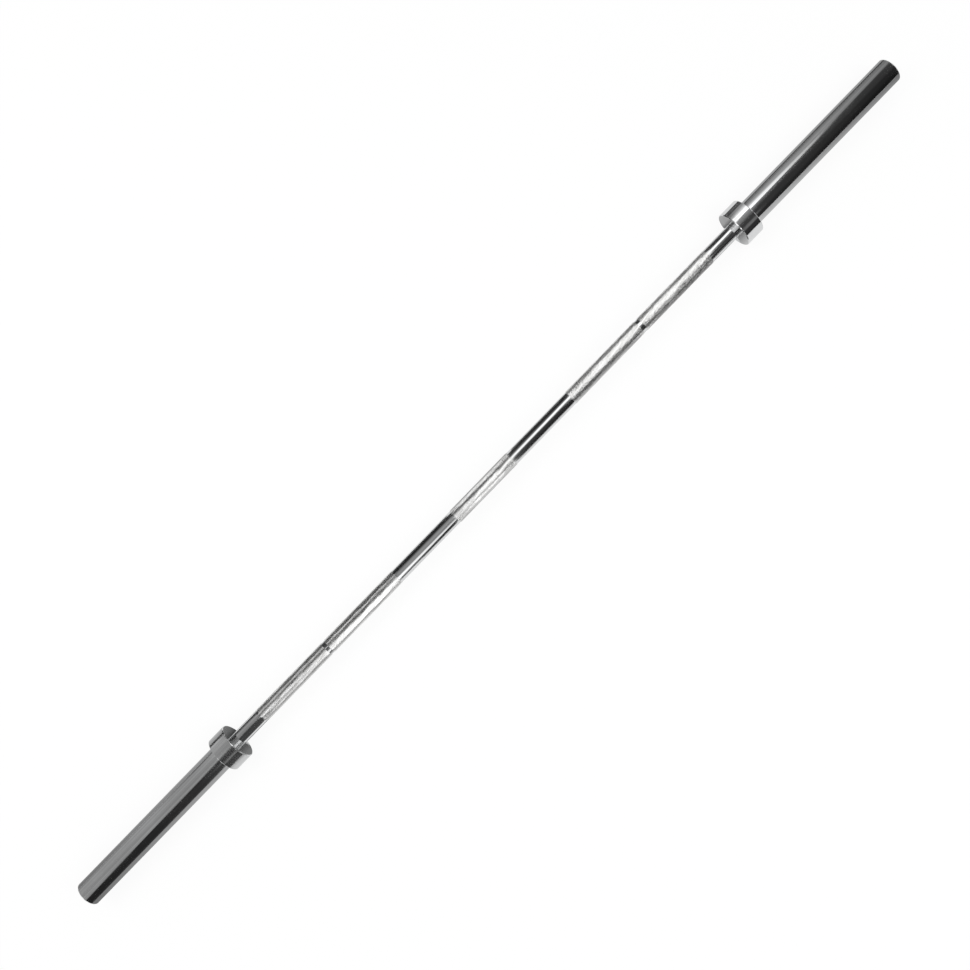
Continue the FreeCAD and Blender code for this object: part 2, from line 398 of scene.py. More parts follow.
def arc_section(corners):
    """The edges of a closed section whose corners may be rounded.

    corners holds (along, radius, rounding). Each edge is (start, end, normal at start, normal at end),
    as complex numbers along + radius * 1j, and the edges run with the metal on their left.
    """
    points = [complex(along, radius) for along, radius, _ in corners]
    roundings = [rounding for _, _, rounding in corners]
    neighbours = zip(points, points[1:] + points[:1])
    if sum((here.conjugate() * there).imag for here, there in neighbours) < 0:
        points.reverse()
        roundings.reverse()
    ways = [there - here for here, there in zip(points, points[1:] + points[:1])]
    normals = [-1j * way / abs(way) for way in ways]
    stations = []
    for corner, (point, rounding, after) in enumerate(zip(points, roundings, normals)):
        before = normals[corner - 1]
        sweep = cmath.phase(after / before)
        if rounding == 0:
            stations.append([(point, before), (point, after)])
            continue
        bulge = math.copysign(rounding, sweep)
        reach = rounding * math.tan(abs(sweep) / 2)
        middle = point - reach * 1j * before - bulge * before
        turns = [sweep * step / ROUNDING_STEPS for step in range(ROUNDING_STEPS + 1)]
        bends = [before * cmath.rect(1, turn) for turn in turns]
        stations.append([(middle + bulge * bend, bend) for bend in bends])
    edges = []
    for station, following in zip(stations, stations[1:] + stations[:1]):
        run = station + following[:1]
        for (start, start_normal), (end, end_normal) in zip(run, run[1:]):
            if abs(end - start) > 0:
                edges.append((start, end, start_normal, end_normal))
    return edges


def circle(segments):
    """The directions of points once round the bar's axis, as (across, up)."""
    angles = [2 * math.pi * column / segments for column in range(segments)]
    return [(math.cos(angle), math.sin(angle)) for angle in angles]


def turned_piece(name, corners, segments, side):
    """A mesh object turned about the bar's axis from a closed section, with exact normals.

    Faces square to the axis take the second material.
    """
    edges = arc_section(corners)
    rims = circle(segments)
    vertices = []
    for start, _, _, _ in edges:
        vertices += [(side * start.real, start.imag * y, start.imag * z) for y, z in rims]
    faces = []
    normals = []
    for row, (_, _, start_normal, end_normal) in enumerate(edges):
        here = row * segments
        there = (row + 1) % len(edges) * segments
        for column in range(segments):
            beside = (column + 1) % segments
            face = [
                (here + column, start_normal, rims[column]),
                (there + column, end_normal, rims[column]),
                (there + beside, end_normal, rims[beside]),
                (here + beside, start_normal, rims[beside]),
            ]
            if side < 0:
                face.reverse()
            faces.append([vertex for vertex, _, _ in face])
            normals += [(side * normal.real, normal.imag * y, normal.imag * z) for _, normal, (y, z) in face]
    mesh = bpy.data.meshes.new(name)
    mesh.from_pydata(vertices, [], faces)
    square = [min(abs(first.real), abs(last.real)) > SQUARE_TO_AXIS for _, _, first, last in edges]
    mesh.polygons.foreach_set("material_index", [int(flat) for flat in square for _ in range(segments)])
    mesh.normals_split_custom_set(normals)
    return link_piece(name, mesh)


def link_piece(name, mesh):
    """A new object in the scene that holds the mesh."""
    piece = bpy.data.objects.new(name, mesh)
    bpy.context.scene.collection.objects.link(piece)
    return piece


def finish_nodes(material, *endings):
    """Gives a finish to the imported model's nodes of both ends that have these names after their side."""
    for side in SIDES:
        for ending in endings:
            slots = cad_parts[f"{side}_{ending}"].data.materials
            slots.clear()
            slots.append(material)


# Shader nodes
def add_node(tree, kind, **settings):
    """A new node in a tree. Settings are its properties."""
    node = tree.nodes.new(kind)
    for name, value in settings.items():
        setattr(node, name, value)
    return node


def feed(tree, socket, value):
    """Links an output to a socket, or sets the socket to a plain value."""
    if isinstance(value, bpy.types.NodeSocket):
        tree.links.new(value, socket)
    else:
        socket.default_value = value


def feed_all(tree, node, values):
    """Feeds a node's inputs in their order, and returns its first output."""
    for socket, value in zip(node.inputs, values):
        feed(tree, socket, value)
    return node.outputs[0]


def calculate(tree, operation, *values):
    """The output of a Math node."""
    return feed_all(tree, add_node(tree, "ShaderNodeMath", operation=operation), values)


def plus(tree, first, second):
    """The sum of two values."""
    return calculate(tree, "ADD", first, second)


def minus(tree, first, second):
    """The first value less the second."""
    return calculate(tree, "SUBTRACT", first, second)


def times(tree, first, second):
    """The product of two values."""
    return calculate(tree, "MULTIPLY", first, second)


def larger(tree, first, second):
    """The larger of two values."""
    return calculate(tree, "MAXIMUM", first, second)


def remap(tree, value, low, high, to_low, to_high):
    """The output of a Map Range node, clamped."""
    return feed_all(tree, add_node(tree, "ShaderNodeMapRange"), (value, low, high, to_low, to_high))


def ramp(tree, value, low, high):
    """A share that rises from 0 to 1 while the value goes from low to high."""
    return remap(tree, value, low, high, 0.0, 1.0)


def between(tree, share, first, last):
    """The first number where the share is 0, and the last where it is 1."""
    return remap(tree, share, 0.0, 1.0, first, last)


def combine(tree, x, y, z):
    """A vector of three values."""
    return feed_all(tree, add_node(tree, "ShaderNodeCombineXYZ"), (x, y, z))


def stretch(tree, along, across, up, scale_along, scale_round):
    """A place for a texture that is scaled along the bar and round it."""
    return combine(
        tree,
        times(tree, along, scale_along),
        times(tree, across, scale_round),
        times(tree, up, scale_round),
    )


def blend_colours(tree, factor, first, second):
    """The output of a Mix node that blends two plain colours."""
    node = add_node(tree, "ShaderNodeMix", data_type="RGBA")
    colours = [socket for socket in node.inputs if socket.type == "RGBA"]
    feed(tree, node.inputs["Factor"], factor)
    for socket, colour in zip(colours, (first, second)):
        feed(tree, socket, (*colour, 1))
    return next(socket for socket in node.outputs if socket.type == "RGBA")


def speckle(tree, vector, scale=1.0, detail=2.0, roughness=0.5):
    """The value of a Noise texture."""
    node = add_node(tree, "ShaderNodeTexNoise")
    feed(tree, node.inputs["Vector"], vector)
    node.inputs["Scale"].default_value = scale
    node.inputs["Detail"].default_value = detail
    node.inputs["Roughness"].default_value = roughness
    return node.outputs[0]


def split_place(tree, place):
    """The three values of a vector."""
    node = add_node(tree, "ShaderNodeSeparateXYZ")
    feed(tree, node.inputs[0], place)
    return node.outputs


def bar_place(tree):
    """A place on the bar as a vector, its parts along, across and up, and its distance from the axis."""
    place = add_node(tree, "ShaderNodeTexCoord").outputs["Object"]
    along, across, up = split_place(tree, place)
    squares = plus(tree, times(tree, across, across), times(tree, up, up))
    return place, along, across, up, calculate(tree, "SQRT", squares)


# Effects that several finishes share
def new_group(name, inputs, output):
    """A shader node group with named values going in and one coming out, and its two end nodes."""
    group = bpy.data.node_groups.new(name, "ShaderNodeTree")
    for label, default in inputs.items():
        socket = group.interface.new_socket(label, in_out="INPUT", socket_type="NodeSocketFloat")
        socket.default_value = default
    group.interface.new_socket(output, in_out="OUTPUT", socket_type="NodeSocketFloat")
    return group, add_node(group, "NodeGroupInput"), add_node(group, "NodeGroupOutput")


def use_group(tree, group, values):
    """Places a group in a material with values of its own, and returns its output."""
    node = add_node(tree, "ShaderNodeGroup", node_tree=group)
    for label, value in values.items():
        feed(tree, node.inputs[label], value)
    return node.outputs[0]


def turning_marks_group():
    """Fine rings that the lathe and the polishing leave, on barrels and on flat faces alike."""
    name = "Turning marks"
    if name in bpy.data.node_groups:
        return bpy.data.node_groups[name]
    group, start, end = new_group(name, {"Rings per metre": 3000.0, "Drift": 6.0}, "Height")
    _, along, across, up, radius = bar_place(group)
    rings = start.outputs["Rings per metre"]
    drift = start.outputs["Drift"]
    wander = plus(group, times(group, across, drift), times(group, up, drift))
    ring_place = combine(group, times(group, along, rings), times(group, radius, rings), wander)
    feed(group, end.inputs["Height"], speckle(group, ring_place, detail=3.0, roughness=0.6))
    return group


def handling_group():
    """Soft smudges where the bar has been wiped and handled: 0 is clean."""
    name = "Handling"
    if name in bpy.data.node_groups:
        return bpy.data.node_groups[name]
    level_with_no_cover = 0.85
    drop_with_cover = 0.5
    soft_edge = 0.22
    group, start, end = new_group(name, {"Patches per metre": 14.0, "Cover": 0.5}, "Smudge")
    _, along, across, up, _ = bar_place(group)
    patches = start.outputs["Patches per metre"]
    patch_place = stretch(group, along, across, up, patches, patches)
    cloud = speckle(group, patch_place, detail=5.0, roughness=0.62)
    level = minus(group, level_with_no_cover, times(group, start.outputs["Cover"], drop_with_cover))
    feed(group, end.inputs["Smudge"], ramp(group, cloud, minus(group, level, soft_edge), level))
    return group


def hairline_group():
    """Fine scratches that run along the bar, where plates slide and hands rub."""
    name = "Hairlines"
    if name in bpy.data.node_groups:
        return bpy.data.node_groups[name]
    faint = 0.62
    full = 0.74
    group, start, end = new_group(name, {"Lines per metre": 1500.0, "Length": 7.0}, "Scratch")
    _, along, across, up, _ = bar_place(group)
    line_place = stretch(group, along, across, up, start.outputs["Length"], start.outputs["Lines per metre"])
    fibre = speckle(group, line_place, roughness=0.7)
    feed(group, end.inputs["Scratch"], ramp(group, fibre, faint, full))
    return group


def smudges(tree, patches, cover=0.5):
    """Handling in a material, with its patches per metre and how much of it they cover."""
    return use_group(tree, handling_group(), {"Patches per metre": patches, "Cover": cover})


def ring_marks(tree, rings):
    """Turning marks in a material, with their rings per metre."""
    return use_group(tree, turning_marks_group(), {"Rings per metre": rings})


# Finishes
# Scales are per metre, and the streaks on the knurl twist by so many radians a metre.
STREAK_TWIST = 12.0
STREAKS_ALONG = 14.0
STREAKS_ROUND = 260.0
WAVES_ALONG = 30.0
WAVES_ROUND = 70.0
WAVE_DEPTH = 1.1 * MM
# The knurling tool's chatter grows between two places along the bar, from one share to the other.
CHATTER_SCALE = 320.0
CHATTER_PLACES = (-0.05, 0.25)
CHATTER_SHARES = (0.08, 0.42)


def new_material(name):
    """A material with a plain Principled shader, its node tree and that shader."""
    material = bpy.data.materials.new(name)
    material.use_nodes = True
    tree = material.node_tree
    return material, tree, tree.nodes["Principled BSDF"]


def add_bump(tree, shader, height, distance):
    """Lets a height shape the surface's normal."""
    bump = add_node(tree, "ShaderNodeBump")
    bump.inputs["Distance"].default_value = distance
    feed(tree, bump.inputs["Height"], height)
    feed(tree, shader.inputs["Normal"], bump.outputs["Normal"])


def chrome(name, polish, smudged, rings, ring_depth, patches=14.0):
    """Hard chrome over a turned surface: fine rings, hairline scratches and handling smudges.

    polish and smudged are the roughness of clean and of smudged metal.
    """
    if name in bpy.data.materials:
        return bpy.data.materials[name]
    smudge_grime = 0.16
    scratch_grime = 0.10
    scratch_roughness = 0.05
    finish = bpy.context.scene.barbell_finish
    material, tree, shader = new_material(name)
    smudge = smudges(tree, patches)
    scratch = use_group(tree, hairline_group(), {})
    dirt = plus(tree, times(tree, smudge, smudge_grime), times(tree, scratch, scratch_grime))
    dulled = between(tree, smudge, polish, smudged)
    feed(tree, shader.inputs["Base Color"], blend_colours(tree, dirt, finish.chrome, finish.grime))
    feed(tree, shader.inputs["Roughness"], plus(tree, dulled, times(tree, scratch, scratch_roughness)))
    shader.inputs["Metallic"].default_value = 1.0
    add_bump(tree, shader, ring_marks(tree, rings), ring_depth)
    return material


def face_chrome():
    """Chrome on the faced ends of the collars and sleeves, where the turning shows most."""
    return chrome("Turned face chrome", polish=0.14, smudged=0.2, rings=1500.0, ring_depth=0.025 * MM)


def knurl_chrome(valley, crest):
    """Chrome on the knurl, in a lighter colour than the plain chrome that paints the knurl's brighter sheen:
    hands polish its tips in slanting streaks, and its grooves stay matt.
    """
    groove_grime = 0.3
    dull_grime = 0.45
    groove_metal = 0.8
    polished = 0.06
    matt = 0.2
    finish = bpy.context.scene.barbell_finish
    material, tree, shader = new_material("Knurl chrome")
    place, along, _, _, radius = bar_place(tree)
    twist = add_node(tree, "ShaderNodeVectorRotate", rotation_type="X_AXIS")
    feed(tree, twist.inputs["Vector"], place)
    feed(tree, twist.inputs["Angle"], times(tree, along, STREAK_TWIST))
    _, across, up = split_place(tree, twist.outputs[0])
    streak_place = stretch(tree, along, across, up, STREAKS_ALONG, STREAKS_ROUND)
    streak = ramp(tree, speckle(tree, streak_place, detail=3.0, roughness=0.6), low=0.35, high=0.65)
    smudge = smudges(tree, patches=22.0, cover=0.6)
    height = ramp(tree, radius, valley, crest)
    groove = minus(tree, 1.0, ramp(tree, height, low=0.1, high=0.5))
    dull = minus(tree, 1.0, streak)
    dust = times(tree, groove, times(tree, smudge, groove_grime))
    dirt = plus(tree, dust, times(tree, dull, dull_grime))
    # The knurl's lighter colour is a painted sheen.
    feed(tree, shader.inputs["Base Color"], blend_colours(tree, dirt, finish.knurl, finish.grime))
    feed(tree, shader.inputs["Metallic"], between(tree, groove, 1.0, groove_metal))
    feed(tree, shader.inputs["Roughness"], remap(tree, plus(tree, groove, dull), 0.0, 2.0, polished, matt))
    wave = speckle(tree, stretch(tree, along, across, up, WAVES_ALONG, WAVES_ROUND), detail=1.0)
    chatter_share = remap(tree, along, *CHATTER_PLACES, *CHATTER_SHARES)
    chatter = times(tree, speckle(tree, place, CHATTER_SCALE, detail=1.0), chatter_share)
    add_bump(tree, shader, plus(tree, wave, chatter), WAVE_DEPTH)
    return material


def bronze():
    """Sintered bronze with its pores and darker oil stains."""
    pores_per_metre = 3500.0
    stain = 0.7
    dry = 0.38
    oily = 0.22
    finish = bpy.context.scene.barbell_finish
    material, tree, shader = new_material("Oiled bronze")
    smudge = smudges(tree, patches=70.0, cover=0.9)
    solid = ramp(tree, speckle(tree, bar_place(tree)[0], pores_per_metre), low=0.36, high=0.44)
    oil = larger(tree, times(tree, smudge, stain), minus(tree, 1.0, solid))
    feed(tree, shader.inputs["Base Color"], blend_colours(tree, oil, finish.bronze, finish.bronze_stain))
    feed(tree, shader.inputs["Roughness"], between(tree, smudge, dry, oily))
    shader.inputs["Metallic"].default_value = 1.0
    marks = ring_marks(tree, rings=2200.0)
    add_bump(tree, shader, plus(tree, marks, solid), distance=0.012 * MM)
    return material


def zinc():
    """Zinc-plated steel, slightly cloudy."""
    bright = 0.26
    cloudy = 0.42
    finish = bpy.context.scene.barbell_finish
    material, tree, shader = new_material("Zinc-plated steel")
    smudge = smudges(tree, patches=110.0, cover=0.9)
    feed(tree, shader.inputs["Base Color"], blend_colours(tree, smudge, finish.zinc, finish.grime))
    feed(tree, shader.inputs["Roughness"], between(tree, smudge, bright, cloudy))
    shader.inputs["Metallic"].default_value = 1.0
    add_bump(tree, shader, ring_marks(tree, rings=2600.0), distance=0.006 * MM)
    return material


def spring_steel():
    """Black phosphated spring steel, rubbed bright in places."""
    grains_per_metre = 4200.0
    most_rubbed = 0.8
    matt = 0.55
    bright = 0.32
    coated_metal = 0.55
    finish = bpy.context.scene.barbell_finish
    material, tree, shader = new_material("Black spring steel")
    grain = speckle(tree, bar_place(tree)[0], grains_per_metre, detail=4.0)
    smudge = smudges(tree, patches=260.0, cover=0.7)
    worn = remap(tree, grain, low=0.45, high=0.6, to_low=0.0, to_high=most_rubbed)
    rubbed = times(tree, smudge, worn)
    feed(tree, shader.inputs["Base Color"], blend_colours(tree, rubbed, finish.spring, finish.spring_worn))
    feed(tree, shader.inputs["Roughness"], between(tree, rubbed, matt, bright))
    feed(tree, shader.inputs["Metallic"], between(tree, rubbed, coated_metal, 1.0))
    add_bump(tree, shader, grain, distance=0.01 * MM)
    return material


def seal_rubber():
    """Matt black rubber with a trace of grease."""
    grains_per_metre = 5000.0
    matt = 0.72
    greasy = 0.38
    finish = bpy.context.scene.barbell_finish
    material, tree, shader = new_material("Seal rubber")
    grain = speckle(tree, bar_place(tree)[0], grains_per_metre, detail=3.0)
    feed(tree, shader.inputs["Base Color"], blend_colours(tree, grain, finish.rubber, finish.spring))
    smudge = smudges(tree, patches=160.0, cover=0.7)
    feed(tree, shader.inputs["Roughness"], between(tree, smudge, matt, greasy))
    add_bump(tree, shader, grain, distance=0.01 * MM)
    return material


# The shaft
KNURL_SEED = 7
SHARP_ANGLE = math.radians(30)


def knurl_heights(shaft):
    """How far the knurl's grooves and its tips are from the bar's axis."""
    crest = KNURL_RADIUS + shaft.knurl_rise
    return crest - shaft.knurl_depth, crest


def knurl_bands(shaft):
    """Where the knurled bands begin and end, from left to right."""
    centre_end = shaft.centre_knurl / 2
    ring_start = (shaft.ring_spacing - shaft.ring_width) / 2
    ring_end = (shaft.ring_spacing + shaft.ring_width) / 2
    right = [(centre_end + shaft.plain_gap, ring_start), (ring_end, COLLAR_FACE - shaft.neck)]
    left = [(-end, -start) for start, end in reversed(right)]
    return left + [(-centre_end, centre_end)] + right


def shaft_rows(shaft):
    """The shaft as rows of rings from left to right.

    Each row is (along, radius of its even columns, radius of its odd columns, whether it is knurled).
    """
    grip = shaft.grip_radius
    valley, crest = knurl_heights(shaft)
    run_out = crest - grip
    diamond_width = 2 * math.pi * KNURL_RADIUS / shaft.diamonds
    half_diamond = diamond_width / 2 / math.tan(shaft.diamond_angle)
    spindle = [
        (SHOULDER - shaft.edge, grip),
        (SHOULDER, grip - shaft.edge),
        (SHOULDER, SPINDLE_RADIUS),
        (CLIP_START - CLIP_PLAY, SPINDLE_RADIUS),
        (CLIP_START - CLIP_PLAY, CLIP_RADIUS),
        (CLIP_END, CLIP_RADIUS),
        (CLIP_END, SPINDLE_RADIUS),
        (SPINDLE_END - shaft.edge, SPINDLE_RADIUS),
        (SPINDLE_END, SPINDLE_RADIUS - shaft.edge),
        (SPINDLE_END, CENTRE_HOLE_RADIUS),
        (SPINDLE_END - CENTRE_HOLE_DEPTH, CENTRE_POINT_RADIUS),
    ]
    rows = [(-along, radius, radius, False) for along, radius in reversed(spindle)]
    for start, end in knurl_bands(shaft):
        rows.append((start, grip, grip, False))
        count = 2 * round((end - start - 2 * run_out) / half_diamond / 2)
        step = (end - start - 2 * run_out) / count
        for row in range(count + 1):
            heights = (valley, crest) if row % 2 == 0 else (crest, valley)
            rows.append((start + run_out + row * step, *heights, True))
        rows.append((end, grip, grip, False))
    rows += [(along, radius, radius, False) for along, radius in spindle]
    return rows


def shaft_vertices(shaft, rows, rims):
    """The corners of the shaft's rings, with the knurl's tips worn to slightly different heights."""
    wear = random.Random(KNURL_SEED)
    _, crest = knurl_heights(shaft)
    vertices = []
    for along, even, odd, knurled in rows:
        for column, (y, z) in enumerate(rims):
            radius = odd if column % 2 else even
            if knurled and radius == crest:
                radius -= wear.uniform(0, shaft.knurl_wear)
            vertices.append(Vector((along, radius * y, radius * z)))
    return vertices


def shaft_faces(rows, columns):
    """Plain quads and knurl triangles of the shaft.

    Each face comes with the one of its corners that is the tip of a diamond, or None if it is plain.
    """
    faces = []
    for row, (this_row, next_row) in enumerate(zip(rows, rows[1:])):
        _, even, odd, knurled = this_row
        _, next_even, next_odd, next_knurled = next_row
        grooves_even = even < odd or next_even > next_odd
        for column in range(columns):
            near = row * columns + column
            near_beside = row * columns + (column + 1) % columns
            far = near + columns
            far_beside = near_beside + columns
            if not knurled and not next_knurled:
                faces.append(((near, near_beside, far_beside, far), None))
            elif grooves_even == (column % 2 == 0):
                faces.append(((near, near_beside, far_beside), near_beside))
                faces.append(((near, far_beside, far), far))
            else:
                faces.append(((near, near_beside, far), near))
                faces.append(((near_beside, far_beside, far), far_beside))
    last_row = (len(rows) - 1) * columns
    faces.append((tuple(range(columns - 1, -1, -1)), None))
    faces.append((tuple(range(last_row, last_row + columns)), None))
    return faces


def shaft_normals(vertices, faces, slope):
    """Corner normals: exact on plain barrels, and rounded on diamonds, whose tips are upright."""
    normals = []
    for corners, tip in faces:
        first, second, third = (vertices[corner] for corner in corners[:3])
        facet = (second - first).cross(third - first).normalized()
        for corner in corners:
            upright = Vector((0, vertices[corner].y, vertices[corner].z)).normalized()
            if tip is None:
                level = math.hypot(facet.y, facet.z)
                normals.append(Vector((facet.x, level * upright.y, level * upright.z)))
            elif corner == tip:
                normals.append(upright)
            else:
                normals.append(upright.lerp(facet, slope).normalized())
    return normals


class BARBELL_OT_shaft(bpy.types.Operator):
    """Turns the shaft and cuts its knurl as real diamonds"""

    bl_idname = "barbell.shaft"
    bl_label = "Shaft"

    def execute(self, context):
        shaft = context.scene.barbell_shaft
        columns = 2 * shaft.diamonds
        rows = shaft_rows(shaft)
        vertices = shaft_vertices(shaft, rows, circle(columns))
        faces = shaft_faces(rows, columns)
        plain = chrome("Shaft chrome", polish=0.03, smudged=0.08, rings=3400.0, ring_depth=0.0005 * MM)
        mesh = bpy.data.meshes.new("shaft_turned")
        mesh.from_pydata(vertices, [], [corners for corners, _ in faces])
        mesh.materials.append(plain)
        mesh.materials.append(knurl_chrome(*knurl_heights(shaft)))
        mesh.polygons.foreach_set("material_index", [0 if tip is None else 1 for _, tip in faces])
        mesh.set_sharp_from_angle(angle=SHARP_ANGLE)
        mesh.normals_split_custom_set(shaft_normals(vertices, faces, shaft.knurl_slope))
        piece = link_piece("shaft_turned", mesh)
        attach(piece, SHAFT_BODY)
        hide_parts("shaft")
        return {"FINISHED"}


# The ends
# How much of the rounding setting the mouths of bores and the outer ends of the sleeves take
MOUTH_ROUNDING = 0.4
SLEEVE_ROUNDING = 2


class BARBELL_OT_collars(bpy.types.Operator):
    """Turns the two collars with chamfered and polished rims"""

    bl_idname = "barbell.collars"
    bl_label = "Collars"

    def execute(self, context):
        ends = context.scene.barbell_ends
        seat = SLEEVE_RADIUS - ends.seat_step
        rim = COLLAR_RADIUS - ends.collar_edge
        soft = ends.rounding
        section = [
            (COLLAR_FACE, LIP_RADIUS, MOUTH_ROUNDING * soft),
            (COLLAR_FACE, rim, soft),
            (COLLAR_FACE + ends.collar_edge, COLLAR_RADIUS, soft),
            (COLLAR_BACK - ends.collar_edge, COLLAR_RADIUS, soft),
            (COLLAR_BACK, rim, soft),
            (COLLAR_BACK, SLEEVE_RADIUS, 0),
            (COLLAR_BACK - ends.seat_step, seat, 0),
            (SLEEVE_START, seat, 0),
            (SLEEVE_START, LIP_RADIUS, 0),
            (SEAL_END, LIP_RADIUS, 0),
            (SEAL_END, SEAL_RADIUS, 0),
            (SEAL_START, SEAL_RADIUS, 0),
            (SEAL_START, LIP_RADIUS, 0),
        ]
        barrel = chrome("Collar chrome", polish=0.06, smudged=0.13, rings=2600.0, ring_depth=0.0008 * MM)
        for side, way in SIDES.items():
            piece = turned_piece(f"{side}_collar_turned", section, ends.segments, way)
            piece.data.materials.append(barrel)
            piece.data.materials.append(face_chrome())
            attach(piece, f"{side}_sleeve_assembly")
            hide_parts(f"{side}_collar")
        return {"FINISHED"}


class BARBELL_OT_sleeves(bpy.types.Operator):
    """Turns the two sleeves with a polished end and the recess for the end cap"""

    bl_idname = "barbell.sleeves"
    bl_label = "Sleeves"

    def execute(self, context):
        ends = context.scene.barbell_ends
        seat = SLEEVE_RADIUS - ends.seat_step
        recess = CAP_RADIUS + CAP_PLAY
        end_soft = SLEEVE_ROUNDING * ends.rounding
        mouth_soft = MOUTH_ROUNDING * ends.rounding
        section = [
            (SLEEVE_START, FLANGE_RADIUS, 0),
            (SLEEVE_START, seat, 0),
            (COLLAR_BACK - ends.seat_step, seat, 0),
            (COLLAR_BACK, SLEEVE_RADIUS, 0),
            (SLEEVE_END - ends.sleeve_edge, SLEEVE_RADIUS, end_soft),
            (SLEEVE_END, SLEEVE_RADIUS - ends.sleeve_edge, end_soft),
            (SLEEVE_END, recess + ends.inner_edge, mouth_soft),
            (SLEEVE_END - ends.inner_edge, recess, mouth_soft),
            (END_CLIP_END, recess, 0),
            (END_CLIP_END, END_GROOVE_RADIUS, 0),
            (CAP_FACE - CLIP_PLAY, END_GROOVE_RADIUS, 0),
            (CAP_FACE - CLIP_PLAY, recess, 0),
            (CAP_SEAT, recess, 0),
            (CAP_SEAT, FLANGE_RADIUS, 0),
            (OUTER_FLANGE_FACE - ends.flange, FLANGE_RADIUS, 0),
            (OUTER_FLANGE_FACE - ends.flange, BORE_RADIUS, 0),
            (INNER_FLANGE_FACE + ends.flange, BORE_RADIUS, 0),
            (INNER_FLANGE_FACE + ends.flange, FLANGE_RADIUS, 0),
        ]
        barrel = chrome("Sleeve chrome", polish=0.07, smudged=0.15, rings=2200.0, ring_depth=0.0008 * MM)
        for side, way in SIDES.items():
            piece = turned_piece(f"{side}_sleeve_turned", section, ends.segments, way)
            piece.data.materials.append(barrel)
            piece.data.materials.append(face_chrome())
            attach(piece, f"{side}_sleeve_assembly")
            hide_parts(f"{side}_sleeve")
        return {"FINISHED"}


class BARBELL_OT_end_caps(bpy.types.Operator):
    """Gives the end caps their turned chrome"""

    bl_idname = "barbell.end_caps"
    bl_label = "End caps"

    def execute(self, context):
        turned = chrome(
            "Cap chrome", polish=0.09, smudged=0.2, rings=1800.0, ring_depth=0.004 * MM, patches=40.0,
        )
        finish_nodes(turned, "end_cap")
        return {"FINISHED"}


class BARBELL_OT_bearings(bpy.types.Operator):
    """Gives the bushings and thrust washers their oiled bronze"""

    bl_idname = "barbell.bearings"
    bl_label = "Bushings and thrust washers"

    def execute(self, context):
        finish_nodes(bronze(), "inner_bushing", "outer_bushing", "inner_thrust_washer", "outer_thrust_washer")
        return {"FINISHED"}


class BARBELL_OT_retainers(bpy.types.Operator):
    """Gives the retaining washers their zinc and the circlips their black spring steel"""

    bl_idname = "barbell.retainers"
    bl_label = "Retaining washers and circlips"

    def execute(self, context):
        finish_nodes(zinc(), "retaining_washer")
        finish_nodes(spring_steel(), "shaft_circlip", "end_circlip")
        return {"FINISHED"}


class BARBELL_OT_seals(bpy.types.Operator):
    """Gives the grease seals their rubber"""

    bl_idname = "barbell.seals"
    bl_label = "Grease seals"

    def execute(self, context):
        finish_nodes(seal_rubber(), "grease_seal")
        return {"FINISHED"}


# The studio's cards, which only the metal sees, so that the chrome has something to mirror.
# Walls, screens and softboxes hang at these distances from the bar's axis, the end walls stand at theirs
# from its middle, and laid cards lie just above the floor.
WALL = 1.2
SCREEN = 1.1
SOFTBOX = 1.0
END_WALL = 2.1
CARD_LIFT = 1 * MM
CARD_COLUMNS = 12
